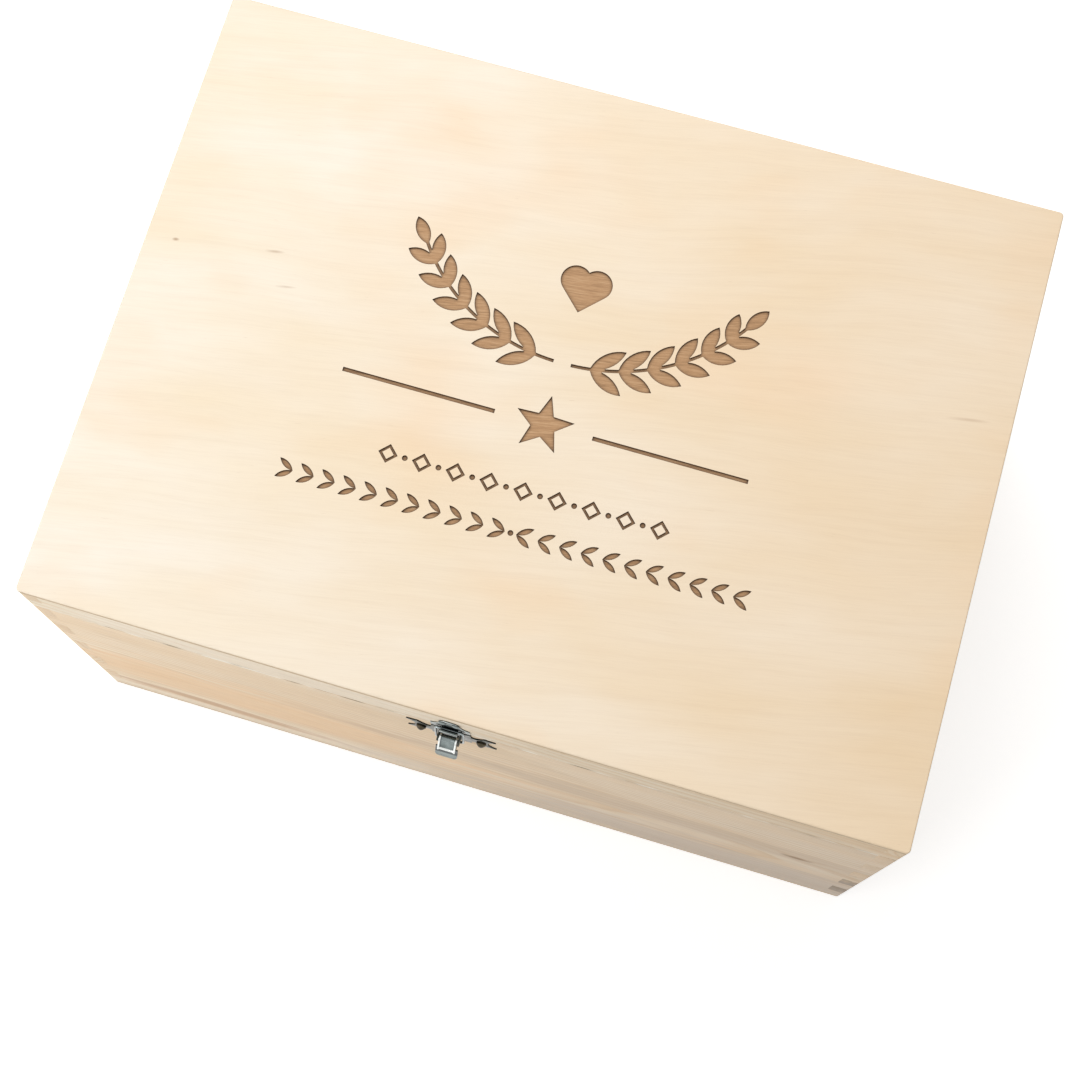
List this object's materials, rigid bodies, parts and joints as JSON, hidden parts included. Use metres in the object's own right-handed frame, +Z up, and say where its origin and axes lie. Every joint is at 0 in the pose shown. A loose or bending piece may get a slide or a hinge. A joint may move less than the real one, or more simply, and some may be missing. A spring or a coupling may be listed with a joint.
{
  "type": "keepsake box",
  "caption": "Rectangular finger-jointed pine box with an engraved plywood lid on stop hinges, closed by a toggle catch at the front.",
  "frame": {"origin": "centre of the case's footprint, on its underside", "axes": "+X to the right along the long side as seen from the front, +Y to the back where the hinges are, +Z up"},
  "size_m": [0.4, 0.3219, 0.23],
  "materials": {
    "pine": "bare planed and sanded pine, finger-jointed, matt",
    "birch_ply": "bare sanded plywood with a pale face veneer, matt, engraved by burning",
    "hinge_steel": "bright zinc-plated sheet steel",
    "catch_nickel": "nickel-plated stamped steel, slightly tarnished",
    "wire_steel": "nickel-plated steel wire",
    "fastener_steel": "plated steel"
  },
  "bodies": {
    "box_body": {"body_front_wall": "pine", "body_back_wall": "pine", "body_left_wall": "pine", "body_right_wall": "pine", "bottom_panel": "birch_ply", "left_hinge_body_leaf": "hinge_steel", "right_hinge_body_leaf": "hinge_steel", "left_hinge_pin": "hinge_steel", "right_hinge_pin": "hinge_steel", "hinge_body_screws": "fastener_steel", "catch_plate": "catch_nickel", "catch_plate_nails": "fastener_steel", "catch_lever_pin": "wire_steel"},
    "lid": {"lid_front_rail": "pine", "lid_back_rail": "pine", "lid_left_rail": "pine", "lid_right_rail": "pine", "lid_panel": "birch_ply", "left_hinge_lid_leaf": "hinge_steel", "right_hinge_lid_leaf": "hinge_steel", "hinge_lid_screws": "fastener_steel", "catch_hook_plate": "catch_nickel", "catch_hook_nails": "fastener_steel"},
    "catch_lever": {"catch_lever": "catch_nickel"},
    "catch_link": {"catch_link": "wire_steel"}
  },
  "joints": [
    {"name": "lid_hinge", "type": "hinge", "parent": "box_body", "child": "lid", "pos_m": [0, 0.1529, 0.2002], "axis": [-1, 0, 0], "range_deg": [0, 100]},
    {"name": "lever_hinge", "type": "hinge", "parent": "box_body", "child": "catch_lever", "pos_m": [-0.002, -0.154, 0.195], "axis": [-1, 0, 0], "range_deg": [0, 140]},
    {"name": "link_hinge", "type": "hinge", "parent": "catch_lever", "child": "catch_link", "pos_m": [-0.002, -0.153, 0.1892], "axis": [-1, 0, 0], "range_deg": [-210, 0]}
  ],
  "couplings": [
    {"joint": "link_hinge", "follows": "lever_hinge", "ratio": -1.5}
  ]
}
